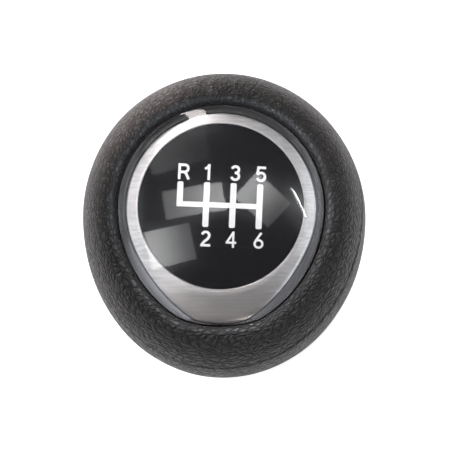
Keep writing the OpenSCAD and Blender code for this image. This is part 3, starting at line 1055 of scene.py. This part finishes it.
def buildFloor():
    look = floorLook
    bm = bmesh.new()
    bmesh.ops.create_grid(bm, x_segments=1, y_segments=1, size=look["size"])
    bmesh.ops.translate(bm, verts=list(bm.verts), vec=(0, 0, -look["under"]))
    mesh = bpy.data.meshes.new("floor")
    bm.to_mesh(mesh)
    bm.free()
    floor = bpy.data.objects.new("floor", mesh)
    scene.collection.objects.link(floor)
    mat, tree, shader = newMaterial("whiteFloor")
    shader.inputs["Base Color"].default_value = look["grey"]
    shader.inputs["Roughness"].default_value = look["rough"]
    path = addNode(tree, "ShaderNodeLightPath").outputs
    mirrored = mathNode(tree, "MAXIMUM", path["Is Glossy Ray"], path["Is Transmission Ray"])
    seen = mathNode(tree, "MAXIMUM", path["Is Camera Ray"], times(tree, mirrored, look["mirrored"]))
    glow = addNode(tree, "ShaderNodeEmission")
    glow.inputs["Color"].default_value = (1, 1, 1, 1)
    glow.inputs["Strength"].default_value = look["glow"]
    both = addNode(tree, "ShaderNodeAddShader")
    mix = addNode(tree, "ShaderNodeMixShader")
    tree.links.new(seen, mix.inputs[0])
    tree.links.new(shader.outputs[0], mix.inputs[1])
    tree.links.new(shader.outputs[0], both.inputs[0])
    tree.links.new(glow.outputs[0], both.inputs[1])
    tree.links.new(both.outputs[0], mix.inputs[2])
    tree.links.new(mix.outputs[0], tree.nodes["Material Output"].inputs["Surface"])
    mesh.materials.append(mat)


buildFloor()
print("floor built")


# Light: a pale room that is dark overhead and along its middle,
# four ceiling panels, a thin tube and a tall window behind on the left

# Spans are along X, Y or Z of the direction looked in. A band is its centre along X, then
# how far out it is still full and how far out it has gone.
room = {
    "left": (0.98, 1.02, 1.09),
    "right": (0.49, 0.51, 0.54),
    "sidesX": (-0.5, 0.6),
    "glow": (2.5, 2.26, 2.18),       # the wall beside the window
    "glowAt": (-0.5, 0.7, 0.5),
    "glowSpan": (0.7, 0.93),
    "cove": (1.45, 1.5, 1.58),       # a light strip along the right side of the ceiling
    "coveBand": (0.48, 0.04, 0.1),
    "coveZ": (0.3, 0.55),
    "dim": (0.07, 0.06, 0.055),      # a dim strip that runs from the driver to the far wall
    "nearBand": (-0.01, 0.2, 0.36),
    "nearY": (-0.45, 0.1, 1, 0),
    "farBand": (0.19, 0.08, 0.18),
    "farY": (-0.1, 0.3),
    "dimZ": (-0.1, 0.3, 0.2, 1),
    "high": (0.06, 0.06, 0.065),
    "highBand": (-0.05, 0.38, 0.5),
    "highZ": (0.4, 0.75),
    "strength": 1.1,
}


def lightRoom():
    world = bpy.data.worlds.new("room")
    scene.world = world
    world.use_nodes = True
    tree = world.node_tree
    back = tree.nodes["Background"]
    place = addNode(tree, "ShaderNodeTexCoord").outputs["Generated"]
    x, y, z = splitVector(tree, place)

    def band(name, value, span):
        # 1 in the band, where value is also in its span
        centre, near, far = room[name]
        off = mathNode(tree, "ABSOLUTE", mathNode(tree, "SUBTRACT", x, centre))
        return times(tree, mapRange(tree, off, near, far, 1, 0), mapRange(tree, value, *room[span]))

    glowAt = tuple(Vector(room["glowAt"]).normalized())
    facing = vectorMath(tree, "DOT_PRODUCT", place, glowAt, "Value")
    wall = mixColor(tree, mapRange(tree, x, *room["sidesX"]), room["left"], room["right"])
    wall = mixColor(tree, mapRange(tree, facing, *room["glowSpan"]), wall, room["glow"])
    wall = mixColor(tree, band("coveBand", z, "coveZ"), wall, room["cove"])
    dim = mathNode(tree, "MAXIMUM", band("nearBand", y, "nearY"), band("farBand", y, "farY"))
    dim = times(tree, dim, mapRange(tree, z, *room["dimZ"]))
    shade = mixColor(tree, dim, wall, room["dim"])
    shade = mixColor(tree, band("highBand", z, "highZ"), shade, room["high"])
    tree.links.new(shade, back.inputs["Color"])
    back.inputs["Strength"].default_value = room["strength"]


lampAim = Vector((0, -8, 60))
wattShare = 4              # watts a square metre for each unit of radiance


def panel(name, centre, size, turn, radiance, color=(1, 1, 1), fade=None):
    # a flat lamp that faces the knob, with places and sizes in millimetres
    # fade is how bright its two ends are
    data = bpy.data.lights.new(name, "AREA")
    data.shape = "RECTANGLE"
    data.size, data.size_y = size[0] * mm, size[1] * mm
    data.energy = radiance * wattShare * data.size * data.size_y
    data.color = color
    if fade:
        data.use_nodes = True
        tree = data.node_tree
        over = addNode(tree, "ShaderNodeNewGeometry").outputs["Parametric"]
        level = mapRange(tree, splitVector(tree, over)[0], 0, 1, *fade)
        tree.links.new(level, tree.nodes["Emission"].inputs["Strength"])
    lamp = bpy.data.objects.new(name, data)
    scene.collection.objects.link(lamp)
    down = (lampAim - Vector(centre)).normalized()
    side = Vector((cos(turn), sin(turn), 0))
    side = (side - side.dot(down) * down).normalized()
    turned = Matrix((side, down.cross(side), -down)).transposed()
    lamp.matrix_world = Matrix.Translation(Vector(centre) * mm) @ turned.to_4x4()


lightRoom()
panel("panelLeft", (-135, -60, 700), (225, 105), radians(8), 1.7, fade=(0.55, 1.5))
panel("panelLow", (-240, -236, 700), (190, 150), radians(13), 1.7, fade=(1.7, 0.35))
panel("panelRight", (116, -57, 700), (170, 125), radians(-41), 1.7, fade=(1.65, 0.25))
panel("haze", (-200, 140, 700), (230, 150), radians(10), 0.34, fade=(1.3, 0.25))
panel("tube", (257, -62, 700), (126, 3), radians(-58), 60.0)
panel("window", (-263, 540, 582), (80, 789), radians(26), 12.0, (1, 0.94, 0.93))
print("lights placed")


# Camera: seen from above the driver's side

view = {
    "elevation": 73.3,
    "lean": 3.3,
    "distance": 0.5,
    "pixelsPerMm": 5.44,
    "pixels": 450,
    "sensor": 36,
    "clip": (0.01, 20),
    "aim": (0.092, -0.161, 44.937),   # millimetres
}


def placeCamera():
    up, lean = radians(view["elevation"]), radians(view["lean"])
    back = Vector((sin(lean), -cos(up) * cos(lean), sin(up) * cos(lean)))
    side = Vector((0, sin(up), cos(up))).cross(back).normalized()
    data = bpy.data.cameras.new("camera")
    data.sensor_width = view["sensor"]
    data.lens = view["sensor"] * view["distance"] / (view["pixels"] / view["pixelsPerMm"] * mm)
    data.clip_start, data.clip_end = view["clip"]
    cam = bpy.data.objects.new("camera", data)
    scene.collection.objects.link(cam)
    spot = Vector(view["aim"]) * mm + back * view["distance"]
    turned = Matrix((side, back.cross(side), back)).transposed()
    cam.matrix_world = Matrix.Translation(spot) @ turned.to_4x4()
    scene.camera = cam


placeCamera()
print("camera placed")
